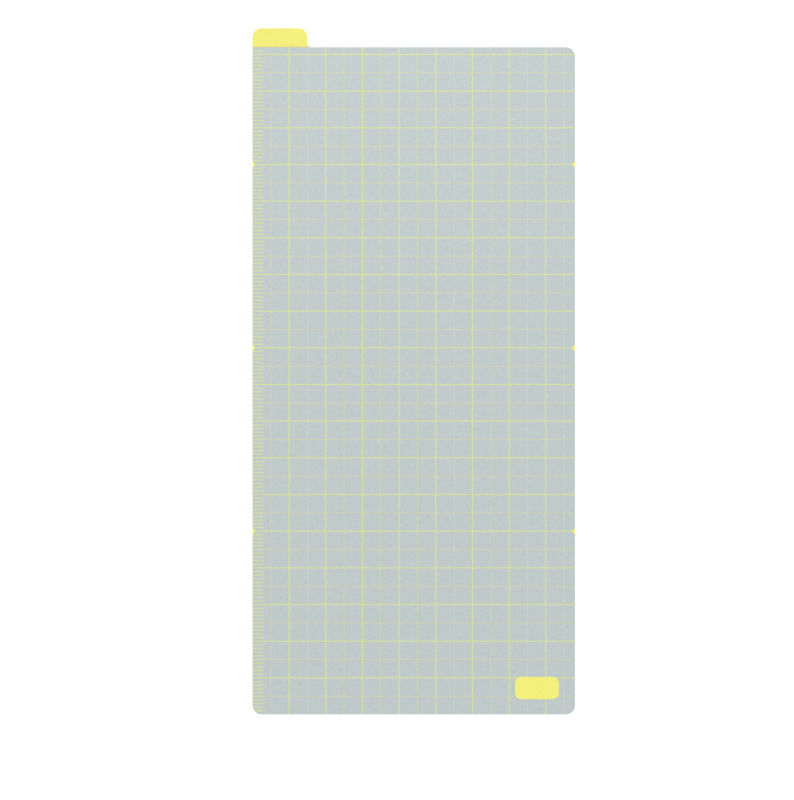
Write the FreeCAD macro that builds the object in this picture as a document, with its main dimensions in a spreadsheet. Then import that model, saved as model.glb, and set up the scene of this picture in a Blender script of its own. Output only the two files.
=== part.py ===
"""A slim, grid-printed cutting mat: three laminated sheets, an index tab and five areas of ink.

The hard core sheet carries the tab. A soft ply is fused to each of its faces, and everything
printed lies on the upper ply. Each body is drawn from the lower left corner of the mat, which is
the zero of its ruler, and its placement carries it to the frame of the whole part: +Y towards the
tab, +Z up through the sheets, and the origin under the middle of the overall outline.
"""

import os

import FreeCAD
import Part
import Sketcher

SIZES = {
    "MatWidth": 88.0,
    "MatLength": 182.0,
    "CornerRadius": 2.5,
    "TabWidth": 15.0,
    "TabLength": 5.2,
    "TabCornerRadius": 2.5,
    "TabFootRadius": 1.0,
    "PlyThickness": 0.3,
    "CoreThickness": 0.4,
    "InkThickness": 0.02,
    "GridPitch": 10.0,
    "GridLine": 0.25,
    "HalfLine": 0.1,
    "RulerPitch": 1.0,
    "RulerLength": 3.0,
    "RulerLine": 0.25,
    "DotPitch": 50.0,
    "DotRadius": 0.7,
    "PanelWidth": 12.0,
    "PanelHeight": 6.1,
    "PanelRadius": 1.8,
    "PanelFromRight": 4.4,
    "PanelFromBottom": 4.2,
}

CORE_LEVEL = "Sizes.PlyThickness"
UPPER_PLY_LEVEL = "Sizes.PlyThickness + Sizes.CoreThickness"
INK_LEVEL = "2 * Sizes.PlyThickness + Sizes.CoreThickness"
PANEL_LEFT = "Sizes.MatWidth - Sizes.PanelFromRight - Sizes.PanelWidth"

FIRST_END = 1
SECOND_END = 2
CENTRE = 3
SKETCH_ORIGIN = (-1, FIRST_END)
MATCH_DISTANCE = 0.001


def make_sheet(doc):
    """Spreadsheet of the driving dimensions, one named cell each."""
    sheet = doc.addObject("Spreadsheet::Sheet", "Sizes")
    for row, (name, value) in enumerate(SIZES.items(), start=1):
        sheet.set(f"A{row}", name)
        sheet.set(f"B{row}", str(value))
        sheet.setAlias(f"B{row}", name)
    doc.recompute()


def make_body(doc, name, level):
    """Body whose own origin is the mat's lower left corner, at a height given as an expression."""
    body = doc.addObject("PartDesign::Body", name)
    body.Label = name
    body.AllowCompound = True
    body.setExpression("Placement.Base.x", "-Sizes.MatWidth / 2")
    body.setExpression("Placement.Base.y", "-(Sizes.MatLength + Sizes.TabLength) / 2")
    body.setExpression("Placement.Base.z", level)
    return body


def origin_feature(body, role):
    """One of the body's own base planes or axes."""
    return next(item for item in body.Origin.OriginFeatures if item.Role == role)


def new_sketch(body, name):
    """Empty sketch on the body's own XY plane."""
    sketch = body.newObject("Sketcher::SketchObject", name)
    sketch.AttachmentSupport = [(origin_feature(body, "XY_Plane"), "")]
    sketch.MapMode = "FlatFace"
    return sketch


def bind(sketch, name, constraint, expression):
    """Adds a dimension to a sketch and ties it to the spreadsheet."""
    index = sketch.addConstraint(constraint)
    sketch.renameConstraint(index, name)
    sketch.setExpression(f"Constraints.{name}", expression)


def rectangle(body, name, left, bottom, width, height):
    """Sketch of one upright rectangle, with its corner and both sides as expressions."""
    sketch = new_sketch(body, name)
    corners = [(0, 0), (1, 0), (1, 1), (0, 1)]
    points = [FreeCAD.Vector(x, y, 0) for x, y in corners]
    for start, end in zip(points, points[1:] + points[:1]):
        sketch.addGeometry(Part.LineSegment(start, end), False)
    for line in range(4):
        follower = (line + 1) % 4
        sketch.addConstraint(Sketcher.Constraint("Coincident", line, SECOND_END, follower, FIRST_END))
        direction = "Vertical" if line % 2 else "Horizontal"
        sketch.addConstraint(Sketcher.Constraint(direction, line))
    across = Sketcher.Constraint("DistanceX", *SKETCH_ORIGIN, 0, FIRST_END, 1.0)
    bind(sketch, "FromLeft", across, left)
    along = Sketcher.Constraint("DistanceY", *SKETCH_ORIGIN, 0, FIRST_END, 1.0)
    bind(sketch, "FromBottom", along, bottom)
    bind(sketch, "Width", Sketcher.Constraint("DistanceX", 0, FIRST_END, 0, SECOND_END, 1.0), width)
    bind(sketch, "Height", Sketcher.Constraint("DistanceY", 1, FIRST_END, 1, SECOND_END, 1.0), height)
    return sketch


def circle(body, name, across, along, radius):
    """Sketch of one circle, with its centre and radius as expressions."""
    sketch = new_sketch(body, name)
    sketch.addGeometry(Part.Circle(FreeCAD.Vector(1, 1, 0), FreeCAD.Vector(0, 0, 1), 1), False)
    bind(sketch, "Across", Sketcher.Constraint("DistanceX", *SKETCH_ORIGIN, 0, CENTRE, 1.0), across)
    bind(sketch, "Along", Sketcher.Constraint("DistanceY", *SKETCH_ORIGIN, 0, CENTRE, 1.0), along)
    bind(sketch, "Radius", Sketcher.Constraint("Radius", 0, 1.0), radius)
    return sketch


def pad(body, sketch, thickness):
    """Raises a sketch upwards by a thickness given as an expression."""
    feature = body.newObject("PartDesign::Pad", sketch.Name + "Pad")
    feature.Profile = sketch
    feature.setExpression("Length", thickness)
    body.Tip = feature
    return feature


def repeat(body, feature, axis, pitch, count):
    """Row of copies of a feature along one of the body's own axes."""
    pattern = body.newObject("PartDesign::LinearPattern", feature.Name + "Row")
    pattern.Originals = [feature]
    pattern.Direction = (origin_feature(body, axis), [""])
    pattern.Mode = "Spacing"
    pattern.setExpression("Offset", pitch)
    pattern.setExpression("Occurrences", count)
    body.Tip = pattern
    return pattern


def round_corners(body, feature, corners, radius):
    """Rounds the upright edges that stand at the given corners."""
    body.Document.recompute()
    chosen = []
    for number, edge in enumerate(feature.Shape.Edges, start=1):
        low, high = edge.BoundBox.ZMin, edge.BoundBox.ZMax
        middle = edge.BoundBox.Center
        upright = high - low > MATCH_DISTANCE and edge.BoundBox.XLength < MATCH_DISTANCE
        for across, along in corners:
            near = abs(middle.x - across) < MATCH_DISTANCE and abs(middle.y - along) < MATCH_DISTANCE
            if upright and near:
                chosen.append(f"Edge{number}")
    if len(chosen) != len(corners):
        raise RuntimeError(f"{body.Label}: {len(corners)} corners asked for, {len(chosen)} found")
    fillet = body.newObject("PartDesign::Fillet", feature.Name + "Round")
    fillet.Base = (feature, chosen)
    fillet.setExpression("Radius", radius)
    body.Tip = fillet
    return fillet


def outer_corners():
    """The three rounded corners of the mat. The fourth is square, where the tab begins."""
    width, length = SIZES["MatWidth"], SIZES["MatLength"]
    return [(0, 0), (width, 0), (width, length)]


def make_mat_outline(doc, name, level, thickness):
    """Plate of the mat's own outline, without the tab."""
    body = make_body(doc, name, level)
    outline = rectangle(body, name + "_outline", "0", "0", "Sizes.MatWidth", "Sizes.MatLength")
    plate = pad(body, outline, thickness)
    round_corners(body, plate, outer_corners(), "Sizes.CornerRadius")
    return body


def make_core_sheet(doc):
    """Hard middle sheet, which runs on past the plies as the index tab."""
    body = make_body(doc, "core_sheet", CORE_LEVEL)
    outline = rectangle(body, "core_outline", "0", "0", "Sizes.MatWidth", "Sizes.MatLength")
    pad(body, outline, "Sizes.CoreThickness")
    tab = rectangle(body, "tab_outline", "0", "Sizes.MatLength", "Sizes.TabWidth", "Sizes.TabLength")
    sheet = pad(body, tab, "Sizes.CoreThickness")
    sheet = round_corners(body, sheet, outer_corners(), "Sizes.CornerRadius")
    tip = SIZES["MatLength"] + SIZES["TabLength"]
    tab_corners = [(0, tip), (SIZES["TabWidth"], tip)]
    sheet = round_corners(body, sheet, tab_corners, "Sizes.TabCornerRadius")
    tab_foot = [(SIZES["TabWidth"], SIZES["MatLength"])]
    round_corners(body, sheet, tab_foot, "Sizes.TabFootRadius")
    return body


def make_lines(doc, name, first, line):
    """Crossed lines at the grid pitch, starting at a given distance from both zero edges.

    The upright lines run from edge to edge. The level ones begin where the ruler ticks end.
    """
    body = make_body(doc, name, INK_LEVEL)
    low_side = f"{first} - {line} / 2"
    upright = rectangle(body, name + "_upright", low_side, "0", line, "Sizes.MatLength")
    columns = f"ceil((Sizes.MatWidth - {first}) / Sizes.GridPitch)"
    repeat(body, pad(body, upright, "Sizes.InkThickness"), "X_Axis", "Sizes.GridPitch", columns)
    run = "Sizes.MatWidth - Sizes.RulerLength"
    level = rectangle(body, name + "_level", "Sizes.RulerLength", low_side, run, line)
    rows = f"ceil((Sizes.MatLength - {first}) / Sizes.GridPitch)"
    repeat(body, pad(body, level, "Sizes.InkThickness"), "Y_Axis", "Sizes.GridPitch", rows)
    return body


def make_ruler_ticks(doc):
    """Ticks of equal length up the whole left edge, one each millimetre."""
    body = make_body(doc, "ruler_ticks", INK_LEVEL)
    low_side = "Sizes.RulerPitch - Sizes.RulerLine / 2"
    tick = rectangle(body, "ruler_tick", "0", low_side, "Sizes.RulerLength", "Sizes.RulerLine")
    count = "ceil(Sizes.MatLength / Sizes.RulerPitch) - 1"
    repeat(body, pad(body, tick, "Sizes.InkThickness"), "Y_Axis", "Sizes.RulerPitch", count)
    return body


def make_edge_discs(doc):
    """Whole discs centred on both long edges. Only their inner halves are on the mat."""
    body = make_body(doc, "edge_discs", INK_LEVEL)
    count = "floor(Sizes.MatLength / Sizes.DotPitch)"
    for side, across in (("left", "0"), ("right", "Sizes.MatWidth")):
        disc = circle(body, side + "_disc", across, "Sizes.DotPitch", "Sizes.DotRadius")
        repeat(body, pad(body, disc, "Sizes.InkThickness"), "Y_Axis", "Sizes.DotPitch", count)
    return body


def make_name_panel(doc):
    """Plain patch with round corners near the lower right corner, with nothing written on it."""
    body = make_body(doc, "name_panel_print", INK_LEVEL)
    width, height = "Sizes.PanelWidth", "Sizes.PanelHeight"
    outline = rectangle(body, "panel_outline", PANEL_LEFT, "Sizes.PanelFromBottom", width, height)
    patch = pad(body, outline, "Sizes.InkThickness")
    left = SIZES["MatWidth"] - SIZES["PanelFromRight"] - SIZES["PanelWidth"]
    right = left + SIZES["PanelWidth"]
    bottom = SIZES["PanelFromBottom"]
    top = bottom + SIZES["PanelHeight"]
    corners = [(left, bottom), (right, bottom), (right, top), (left, top)]
    round_corners(body, patch, corners, "Sizes.PanelRadius")
    return body


def combine(doc, kind, name, base, tool):
    """Part boolean of two objects: Part::Cut or Part::Common."""
    result = doc.addObject(kind, name)
    result.Base = base
    result.Tool = tool
    return result


def group(doc, name, members):
    """Several inked areas taken together as one cutting tool."""
    result = doc.addObject("Part::Compound", name)
    result.Links = members
    return result


def make_prints(doc):
    """The five inked areas. Where two would lie on the same spot, the bolder one keeps it."""
    printable = make_mat_outline(doc, "printable_area", INK_LEVEL, "Sizes.InkThickness")
    panel = make_name_panel(doc)
    dots = combine(doc, "Part::Common", "edge_dots_print", make_edge_discs(doc), printable)
    marks = group(doc, "marks", [dots, panel])

    ticks = combine(doc, "Part::Common", "ticks_on_mat", make_ruler_ticks(doc), printable)
    ruler = combine(doc, "Part::Cut", "ruler_scale_print", ticks, dots)

    grid_lines = make_lines(doc, "grid_lines", "Sizes.GridPitch", "Sizes.GridLine")
    grid = combine(doc, "Part::Cut", "centimetre_grid_print", grid_lines, marks)

    half_lines = make_lines(doc, "half_lines", "Sizes.GridPitch / 2", "Sizes.HalfLine")
    bolder = group(doc, "bolder_marks", [grid_lines, panel])
    half_grid = combine(doc, "Part::Cut", "half_centimetre_grid_print", half_lines, bolder)
    return [grid, half_grid, ruler, dots, panel]


def check(doc, nodes):
    """Stops the script if anything in the document failed or a sub-part has no sound solid."""
    for item in doc.Objects:
        if {"Invalid", "Error"} & set(item.State):
            raise RuntimeError(f"{item.Label} failed: {item.State}")
    for node in nodes:
        shape = node.Shape
        if shape.isNull() or not shape.isValid() or not shape.Solids:
            raise RuntimeError(f"{node.Label} has no valid solid")
        box = shape.BoundBox
        print(f"{node.Label}: {len(shape.Solids)} solids, {shape.Volume:.3f} mm3,"
              f" X {box.XMin:.2f} to {box.XMax:.2f}, Y {box.YMin:.2f} to {box.YMax:.2f},"
              f" Z {box.ZMin:.2f} to {box.ZMax:.2f}")


def main():
    doc = FreeCAD.newDocument("cutting_mat")
    make_sheet(doc)
    nodes = [
        make_mat_outline(doc, "bottom_layer", "0", "Sizes.PlyThickness"),
        make_core_sheet(doc),
        make_mat_outline(doc, "top_layer", UPPER_PLY_LEVEL, "Sizes.PlyThickness"),
    ]
    nodes += make_prints(doc)
    doc.recompute()
    check(doc, nodes)
    os.makedirs("parts", exist_ok=True)
    for node in nodes:
        node.Shape.exportStep(f"parts/{node.Label}.step")


main()
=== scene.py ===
"""Studio scene of a slim grid-printed cutting mat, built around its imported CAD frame.

Everything is in metres in the part's own frame: +Y runs towards the index tab, +Z points up out of
the printed face, and the underside lies on z = 0. The three sheets, the edge marks and the blank
panel are rebuilt here with smooth arcs and softened die-cut edges. The grid and ruler keep their
CAD meshes, whose straight lines are exact, and get a new material.
"""

import math

import bmesh
import bpy
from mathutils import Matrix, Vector


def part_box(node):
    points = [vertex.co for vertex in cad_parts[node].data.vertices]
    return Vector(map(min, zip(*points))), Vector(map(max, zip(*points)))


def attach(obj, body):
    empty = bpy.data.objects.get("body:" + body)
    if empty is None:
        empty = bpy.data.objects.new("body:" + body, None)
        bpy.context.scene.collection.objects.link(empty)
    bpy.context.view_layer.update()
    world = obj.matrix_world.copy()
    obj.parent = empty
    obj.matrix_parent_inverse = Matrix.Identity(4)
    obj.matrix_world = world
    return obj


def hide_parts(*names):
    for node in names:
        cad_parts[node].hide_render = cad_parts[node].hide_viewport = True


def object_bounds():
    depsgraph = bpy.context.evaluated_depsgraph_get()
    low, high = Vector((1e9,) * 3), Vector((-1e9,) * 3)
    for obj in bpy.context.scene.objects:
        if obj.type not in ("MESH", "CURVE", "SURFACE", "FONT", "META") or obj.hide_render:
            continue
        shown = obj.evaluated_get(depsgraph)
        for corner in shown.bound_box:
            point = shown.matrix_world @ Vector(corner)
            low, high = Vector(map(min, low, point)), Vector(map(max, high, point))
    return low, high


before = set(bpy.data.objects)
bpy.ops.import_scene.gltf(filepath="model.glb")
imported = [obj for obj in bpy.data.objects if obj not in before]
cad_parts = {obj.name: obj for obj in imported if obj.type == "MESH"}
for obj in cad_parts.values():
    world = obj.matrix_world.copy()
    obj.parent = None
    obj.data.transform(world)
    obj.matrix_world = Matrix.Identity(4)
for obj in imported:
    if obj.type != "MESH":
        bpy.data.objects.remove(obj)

CAD_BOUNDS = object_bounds()
BODY = "root"
MM = 0.001
WHITE = (1.0, 1.0, 1.0, 1.0)

# Outline of the mat and its tab
CORNER_RADIUS = 2.5 * MM
TAB_WIDTH = 15.0 * MM
TAB_CORNER_RADIUS = 2.5 * MM
TAB_FOOT_RADIUS = 1.0 * MM
ARC_STEPS = 24

# Die-cut edges: the outer edges are a little softer than those along the laminating lines
OUTER_EDGE = 0.035 * MM
INNER_EDGE = 0.02 * MM
EDGE_STEPS = 4
HOLDING_LOOP = 0.05 * MM

# Printed marks that are rebuilt with smooth arcs
PANEL_RADIUS = 1.8 * MM
DOT_RADIUS = 0.7 * MM
DOT_ROWS = 3
INK_EDGE = 0.006 * MM
INK_EDGE_MIDDLE = 0.3 * INK_EDGE
INK_HOLDING_LOOP = 3 * INK_EDGE

# Printed lines that keep their CAD meshes
LINE_PRINTS = ("centimetre_grid_print", "half_centimetre_grid_print", "ruler_scale_print")

# Linear colours
PLY_COLOUR = (0.497, 0.558, 0.564)
CORE_COLOUR = (0.802, 0.765, 0.148)
INK_COLOUR = (0.854, 0.830, 0.147)
FINE_INK_COLOUR = (0.685, 0.730, 0.249)
FLOOR_COLOUR = (0.90, 0.90, 0.90)

# Noise in the materials. Nearly all its values lie between the two limits.
NOISE_LOW = 0.3
NOISE_HIGH = 0.7
NOISE_DETAIL = 2.0
NOISE_ROUGHNESS = 0.5

# Soft ply: an embossed grain, with painted shade that darkens the colour in its hollows, and a
# slight mottling. Tones are factors of the colour.
PLY_MOTTLING_AND_SHADE_TONES = (0.935, 1.065)
PLY_MOTTLING = {"size": 0.9 * MM, "detail": 4.0, "roughness": 0.6}
PLY_GRAIN = {"size": 0.22 * MM, "roughness": 0.6}
PLY_PAINTED_HOLLOW_SHADE_SHARE = 0.4
PLY_GRAIN_DEPTH = 0.035 * MM
PLY_BUMP = 0.8
PLY_ROUGHNESS = (0.56, 0.68)
PLY_SPECULAR = 0.4

# Core plastic: smooth and satin
CORE_TONES = (0.985, 1.015)
CORE_CLOUDS = {"size": 4.0 * MM}
CORE_GRAIN = {"size": 0.12 * MM}
CORE_GRAIN_DEPTH = 0.01 * MM
CORE_BUMP = 0.15
CORE_ROUGHNESS = (0.42, 0.52)

# Ink: a satin film that fills the ply's grain halfway
INK_TONES = (0.97, 1.02)
INK_DENSITY = {"size": 0.5 * MM}
INK_BUMP = 0.4
INK_ROUGHNESS = (0.44, 0.54)
SATIN_SPECULAR = 0.45

# Camera straight above, with a long lens
LENS_MM = 200.0
SENSOR_MM = 24.0
VIEW_HEIGHT = 218.16 * MM
VIEW_CENTRE = Vector((-4.57 * MM, -7.82 * MM, 0.0))
CAMERA_REACH = 50.0

# Studio
FLOOR_SIZE = 24.0
FLOOR_GAP = 0.02 * MM
FLOOR_GLOW = 0.35
FLOOR_ROUGHNESS = 0.9
FLOOR_SPECULAR = 0.1
WORLD_STRENGTH = 0.785
BACKDROP_STRENGTH = 1.1
SOFTBOXES = {
    "key": {"location": (0.0, -0.2, 2.0), "size": 0.7, "power": 9.1},
    "tab_end": {"location": (0.0, 0.17, 0.12), "size": 0.1, "power": 0.032},
}


# ---------------------------------------------------------------- meshes

def arc(centre, radius, start, end):
    """Points on a circular arc, from one angle to the other in degrees."""
    points = []
    for step in range(ARC_STEPS + 1):
        angle = math.radians(start + (end - start) * step / ARC_STEPS)
        x = centre[0] + radius * math.cos(angle)
        y = centre[1] + radius * math.sin(angle)
        points.append(Vector((x, y)))
    return points


def mat_outline(low, high):
    """Anticlockwise outline of the mat: three round corners, and a square one at the top left."""
    r = CORNER_RADIUS
    return [
        *arc((low.x + r, low.y + r), r, 180, 270),
        *arc((high.x - r, low.y + r), r, 270, 360),
        *arc((high.x - r, high.y - r), r, 0, 90),
        Vector((low.x, high.y)),
    ]


def core_outline(low, high, shoulder):
    """The mat's outline with the index tab standing above its shoulder line."""
    r = CORNER_RADIUS
    tab_r = TAB_CORNER_RADIUS
    foot = TAB_FOOT_RADIUS
    tab_right = low.x + TAB_WIDTH
    return [
        *arc((low.x + r, low.y + r), r, 180, 270),
        *arc((high.x - r, low.y + r), r, 270, 360),
        *arc((high.x - r, shoulder - r), r, 0, 90),
        *arc((tab_right + foot, shoulder + foot), foot, 270, 180),
        *arc((tab_right - tab_r, high.y - tab_r), tab_r, 0, 90),
        *arc((low.x + tab_r, high.y - tab_r), tab_r, 90, 180),
    ]


def panel_outline(low, high):
    """Anticlockwise outline of the blank panel, with four round corners."""
    r = PANEL_RADIUS
    return [
        *arc((low.x + r, low.y + r), r, 180, 270),
        *arc((high.x - r, low.y + r), r, 270, 360),
        *arc((high.x - r, high.y - r), r, 0, 90),
        *arc((low.x + r, high.y - r), r, 90, 180),
    ]


def inset(outline, distance):
    """The outline moved inwards, by mitring at every point."""
    moved = []
    for index, point in enumerate(outline):
        before = (point - outline[index - 1]).normalized()
        after = (outline[(index + 1) % len(outline)] - point).normalized()
        inward = Vector((-before.y - after.y, before.x + after.x)).normalized()
        cosine = inward.dot(Vector((-before.y, before.x)))
        moved.append(point + inward * (distance / cosine))
    return moved


def sheet_profile(bottom, top, lower_edge, upper_edge):
    """Rings of a sheet with rounded edges, from the underside up, as pairs of inset and height."""
    angles = [math.pi / 2 * step / EDGE_STEPS for step in range(EDGE_STEPS + 1)]
    rings = [(lower_edge + HOLDING_LOOP, bottom)]
    for angle in angles:
        rings.append((lower_edge * (1 - math.sin(angle)), bottom + lower_edge * (1 - math.cos(angle))))
    for angle in angles:
        rings.append((upper_edge * (1 - math.cos(angle)), top - upper_edge * (1 - math.sin(angle))))
    rings.append((upper_edge + HOLDING_LOOP, top))
    return rings


def ink_profile(bottom, top):
    """Rings of an ink film: a square foot and a barely softened upper edge."""
    return [
        (0.0, bottom),
        (0.0, top - INK_EDGE),
        (INK_EDGE_MIDDLE, top - INK_EDGE_MIDDLE),
        (INK_EDGE, top),
        (INK_HOLDING_LOOP, top),
    ]


def add_plate(build, outline, profile):
    """One closed plate of a given outline: flat faces, and smooth shading round its edges."""
    rings = []
    for distance, height in profile:
        ring = [build.verts.new((p.x, p.y, height)) for p in inset(outline, distance)]
        rings.append(ring)
    build.faces.new(list(reversed(rings[0])))
    build.faces.new(rings[-1])
    for lower, upper in zip(rings, rings[1:]):
        for index in range(len(outline)):
            follower = (index + 1) % len(outline)
            face = build.faces.new((lower[index], lower[follower], upper[follower], upper[index]))
            face.smooth = True


def plates(name, outlines, profile, material):
    """Object made of one closed plate for each outline."""
    mesh = bpy.data.meshes.new(name)
    build = bmesh.new()
    for outline in outlines:
        add_plate(build, outline, profile)
    build.to_mesh(mesh)
    build.free()
    mesh.materials.append(material)
    piece = bpy.data.objects.new(name, mesh)
    bpy.context.collection.objects.link(piece)
    return piece


def place(piece, node):
    """Fixes a piece to the mat in the place of its CAD node."""
    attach(piece, BODY)
    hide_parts(node)


# ---------------------------------------------------------------- materials

class Nodes:
    """Small helper that lays out one node-based material."""

    def __init__(self, name):
        self.material = bpy.data.materials.new(name)
        self.material.use_nodes = True
        self.tree = self.material.node_tree
        self.shader = self.tree.nodes["Principled BSDF"]
        self.position = self.add("ShaderNodeTexCoord").outputs["Object"]

    def add(self, kind, **settings):
        """New node with the given settings."""
        node = self.tree.nodes.new(kind)
        for key, value in settings.items():
            setattr(node, key, value)
        return node

    def link(self, source, target):
        self.tree.links.new(source, target)

    def feed(self, source, name):
        """Joins a value to one of the shader's own sockets."""
        self.link(source, self.shader.inputs[name])

    def noise(self, size, detail=NOISE_DETAIL, roughness=NOISE_ROUGHNESS):
        """Noise whose lumps are about the given size in metres."""
        node = self.add("ShaderNodeTexNoise")
        node.inputs["Scale"].default_value = 1.0 / size
        node.inputs["Detail"].default_value = detail
        node.inputs["Roughness"].default_value = roughness
        self.link(self.position, node.inputs["Vector"])
        return node.outputs["Fac"]

    def ramp(self, noise, low=0.0, high=1.0):
        """Maps the usual values of a noise to the given range."""
        node = self.add("ShaderNodeMapRange")
        node.inputs["From Min"].default_value = NOISE_LOW
        node.inputs["From Max"].default_value = NOISE_HIGH
        node.inputs["To Min"].default_value = low
        node.inputs["To Max"].default_value = high
        self.link(noise, node.inputs["Value"])
        return node.outputs["Result"]

    def share(self, first, second, part):
        """Blend of two values, with the given part of the second."""
        node = self.add("ShaderNodeMix", data_type="FLOAT")
        node.inputs["Factor"].default_value = part
        self.link(first, node.inputs["A"])
        self.link(second, node.inputs["B"])
        return node.outputs["Result"]

    def shades(self, factor, colour, tones):
        """Shades of one colour, from its first tone to its second."""
        node = self.add("ShaderNodeMix", data_type="RGBA")
        sockets = [socket for socket in node.inputs if socket.type == "RGBA"]
        for socket, tone in zip(sockets, tones):
            socket.default_value = (*(channel * tone for channel in colour), 1)
        self.link(factor, node.inputs["Factor"])
        return next(socket for socket in node.outputs if socket.type == "RGBA")

    def bump(self, height, strength, depth):
        """Relief of the given depth in metres."""
        node = self.add("ShaderNodeBump")
        node.inputs["Strength"].default_value = strength
        node.inputs["Distance"].default_value = depth
        self.link(height, node.inputs["Height"])
        return node.outputs["Normal"]


def soft_ply_material():
    """Soft PVC with the fine, even, matt grain that such mats are embossed with."""
    nodes = Nodes("soft_ply")
    mottling = nodes.ramp(nodes.noise(**PLY_MOTTLING))
    grain = nodes.noise(**PLY_GRAIN)
    # Painted shade: the grain's share of the colour darkens the hollows of the bump, mixed with the
    # real mottling.
    tone = nodes.share(mottling, nodes.ramp(grain), PLY_PAINTED_HOLLOW_SHADE_SHARE)
    nodes.feed(nodes.shades(tone, PLY_COLOUR, PLY_MOTTLING_AND_SHADE_TONES), "Base Color")
    nodes.feed(nodes.ramp(grain, *PLY_ROUGHNESS), "Roughness")
    nodes.feed(nodes.bump(grain, PLY_BUMP, PLY_GRAIN_DEPTH), "Normal")
    nodes.shader.inputs["Specular IOR Level"].default_value = PLY_SPECULAR
    return nodes.material


def core_material():
    """Smooth satin plastic, dyed through."""
    nodes = Nodes("core_plastic")
    clouds = nodes.ramp(nodes.noise(**CORE_CLOUDS))
    nodes.feed(nodes.shades(clouds, CORE_COLOUR, CORE_TONES), "Base Color")
    grain = nodes.noise(**CORE_GRAIN)
    nodes.feed(nodes.ramp(grain, *CORE_ROUGHNESS), "Roughness")
    nodes.feed(nodes.bump(grain, CORE_BUMP, CORE_GRAIN_DEPTH), "Normal")
    nodes.shader.inputs["Specular IOR Level"].default_value = SATIN_SPECULAR
    return nodes.material


def ink_material(name, colour):
    """Satin screen ink that follows the grain of the ply under it."""
    nodes = Nodes(name)
    density = nodes.ramp(nodes.noise(**INK_DENSITY))
    nodes.feed(nodes.shades(density, colour, INK_TONES), "Base Color")
    grain = nodes.noise(**PLY_GRAIN)
    nodes.feed(nodes.ramp(grain, *INK_ROUGHNESS), "Roughness")
    nodes.feed(nodes.bump(grain, INK_BUMP, PLY_GRAIN_DEPTH), "Normal")
    nodes.shader.inputs["Specular IOR Level"].default_value = SATIN_SPECULAR
    return nodes.material


def floor_material():
    """Plain pale floor that glows a little, so that it stays white up to the mat's edge."""
    nodes = Nodes("floor")
    nodes.shader.inputs["Base Color"].default_value = (*FLOOR_COLOUR, 1)
    nodes.shader.inputs["Emission Color"].default_value = WHITE
    nodes.shader.inputs["Emission Strength"].default_value = FLOOR_GLOW
    nodes.shader.inputs["Roughness"].default_value = FLOOR_ROUGHNESS
    nodes.shader.inputs["Specular IOR Level"].default_value = FLOOR_SPECULAR
    return nodes.material


# ---------------------------------------------------------------- the mat

def build_plies(material):
    """The two soft plies, under and over the core sheet."""
    for node, lower_edge, upper_edge in (
        ("bottom_layer", OUTER_EDGE, INNER_EDGE),
        ("top_layer", INNER_EDGE, OUTER_EDGE),
    ):
        low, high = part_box(node)
        profile = sheet_profile(low.z, high.z, lower_edge, upper_edge)
        ply = plates(node + "_sheet", [mat_outline(low, high)], profile, material)
        place(ply, node)


def build_core(material):
    """The core sheet, whose index tab stands out past the upper edge of the plies."""
    low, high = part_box("core_sheet")
    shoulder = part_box("top_layer")[1].y
    profile = sheet_profile(low.z, high.z, INNER_EDGE, INNER_EDGE)
    core = plates("core_with_tab", [core_outline(low, high, shoulder)], profile, material)
    place(core, "core_sheet")


def build_edge_marks(ink):
    """Half-round marks, in rows on both long edges."""
    low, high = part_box("edge_dots_print")
    pitch = (high.y - low.y - 2 * DOT_RADIUS) / (DOT_ROWS - 1)
    outlines = []
    for row in range(DOT_ROWS):
        y = low.y + DOT_RADIUS + row * pitch
        outlines.append(arc((low.x, y), DOT_RADIUS, -90, 90))
        outlines.append(arc((high.x, y), DOT_RADIUS, 90, 270))
    marks = plates("edge_marks", outlines, ink_profile(low.z, high.z), ink)
    place(marks, "edge_dots_print")


def build_panel(ink):
    """Plain blank patch with round corners."""
    low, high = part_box("name_panel_print")
    panel = plates("blank_panel", [panel_outline(low, high)], ink_profile(low.z, high.z), ink)
    place(panel, "name_panel_print")


def ink_lines(ink):
    """Gives the CAD meshes of the grids and the ruler their ink."""
    for name in LINE_PRINTS:
        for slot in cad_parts[name].material_slots:
            slot.material = ink


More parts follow.
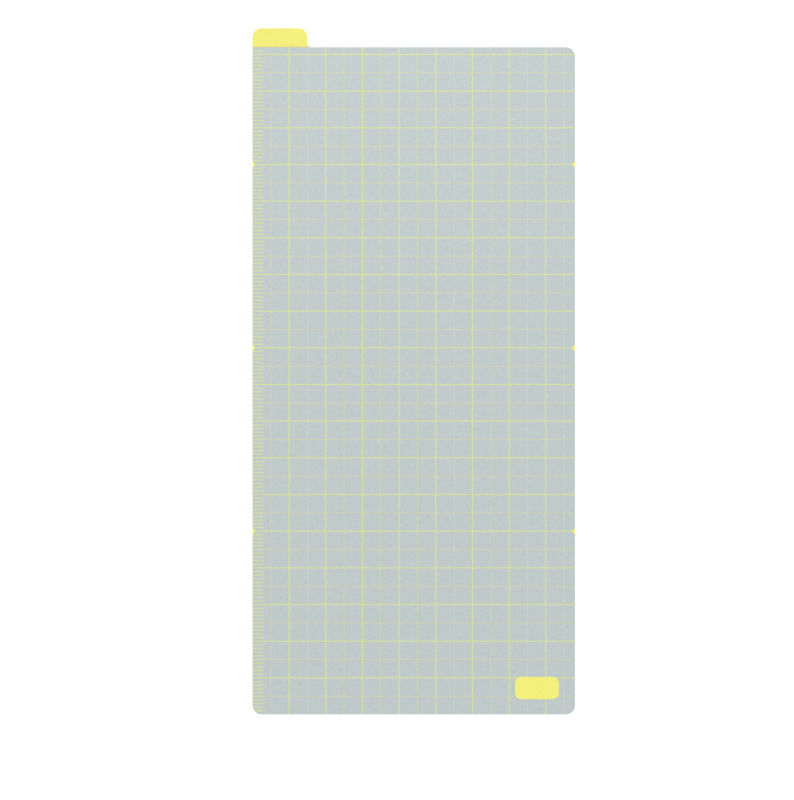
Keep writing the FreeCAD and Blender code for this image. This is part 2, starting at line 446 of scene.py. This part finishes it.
def build_mat():
    """All the pieces of the mat, with their materials."""
    build_plies(soft_ply_material())
    build_core(core_material())
    yellow_ink = ink_material("yellow_ink", INK_COLOUR)
    build_edge_marks(yellow_ink)
    build_panel(yellow_ink)
    ink_lines(ink_material("fine_line_ink", FINE_INK_COLOUR))


# ---------------------------------------------------------------- studio

def add_floor():
    """Wide floor, a hair below the mat."""
    bpy.ops.mesh.primitive_plane_add(size=FLOOR_SIZE, location=(0, 0, CAD_BOUNDS[0].z - FLOOR_GAP))
    floor = bpy.context.object
    floor.name = "studio_floor"
    floor.data.materials.append(floor_material())


def add_softbox(name, location, size, power):
    """Square light that faces the middle of the mat and is itself unseen."""
    light = bpy.data.lights.new(name, "AREA")
    light.shape = "SQUARE"
    light.size = size
    light.energy = power
    lamp = bpy.data.objects.new(name, light)
    lamp.location = location
    lamp.rotation_euler = (-lamp.location).to_track_quat("-Z", "Y").to_euler()
    lamp.visible_camera = False
    bpy.context.collection.objects.link(lamp)


def add_camera():
    """Camera straight above, at the distance where its lens takes in the height of the view."""
    camera = bpy.data.cameras.new("camera")
    camera.sensor_width = SENSOR_MM
    camera.lens = LENS_MM
    camera.clip_end = CAMERA_REACH
    view = bpy.data.objects.new("camera", camera)
    distance = VIEW_HEIGHT * LENS_MM / SENSOR_MM
    view.location = VIEW_CENTRE + Vector((0, 0, CAD_BOUNDS[1].z + distance))
    bpy.context.collection.objects.link(view)
    bpy.context.scene.camera = view


def set_world():
    """Even white light, and a backdrop that is as white as the floor."""
    world = bpy.data.worlds.new("studio")
    world.use_nodes = True
    tree = world.node_tree
    background = tree.nodes["Background"]
    background.inputs["Color"].default_value = WHITE
    strength = tree.nodes.new("ShaderNodeMapRange")
    strength.inputs["To Min"].default_value = WORLD_STRENGTH
    strength.inputs["To Max"].default_value = BACKDROP_STRENGTH
    rays = tree.nodes.new("ShaderNodeLightPath")
    tree.links.new(rays.outputs["Is Camera Ray"], strength.inputs["Value"])
    tree.links.new(strength.outputs["Result"], background.inputs["Strength"])
    bpy.context.scene.world = world
    bpy.context.scene.view_settings.view_transform = "Standard"


build_mat()
add_floor()
for lamp_name, lamp_values in SOFTBOXES.items():
    add_softbox(lamp_name, **lamp_values)
add_camera()
set_world()
